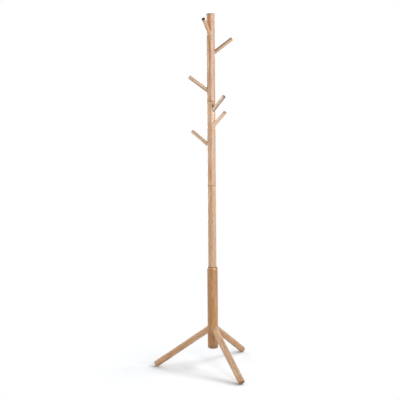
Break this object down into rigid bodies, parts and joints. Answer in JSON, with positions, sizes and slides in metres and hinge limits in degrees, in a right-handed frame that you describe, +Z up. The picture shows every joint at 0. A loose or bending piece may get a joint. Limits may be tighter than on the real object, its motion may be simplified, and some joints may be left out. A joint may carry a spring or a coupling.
{
  "type": "standing coat rack",
  "caption": "Free-standing wooden coat rack: a screwed pole of turned sections with sloping round pegs, on a thick post with sloping round legs.",
  "frame": {"origin": "on the floor, at the middle of the rectangle that the feet cover; the pole's axis stands 70.3 mm from it along +X", "axes": "+Z up along the pole, -X along the left leg, so the front leg points to +X -Y and the back leg to +X +Y"},
  "size_m": [0.4606, 0.5268, 1.7508],
  "materials": {
    "post_wood": "clear satin lacquer on turned light hardwood",
    "leg_wood": "clear satin lacquer on turned light hardwood",
    "pole_wood": "clear satin lacquer on turned light hardwood",
    "peg_wood": "clear satin lacquer on turned light hardwood",
    "stud_steel": "zinc-plated steel thread",
    "insert_zinc": "cast zinc insert"
  },
  "bodies": {
    "root": {"base_post": "post_wood", "leg_left": "leg_wood", "leg_front": "leg_wood", "leg_back": "leg_wood", "pole_lower": "pole_wood", "pole_middle": "pole_wood", "pole_upper": "pole_wood", "peg_1": "peg_wood", "peg_2": "peg_wood", "peg_3": "peg_wood", "peg_4": "peg_wood", "peg_5": "peg_wood", "peg_6": "peg_wood", "peg_7": "peg_wood", "peg_8": "peg_wood", "section_studs": "stud_steel", "leg_bolts": "stud_steel", "section_inserts": "insert_zinc", "leg_inserts": "insert_zinc"}
  },
  "joints": []
}
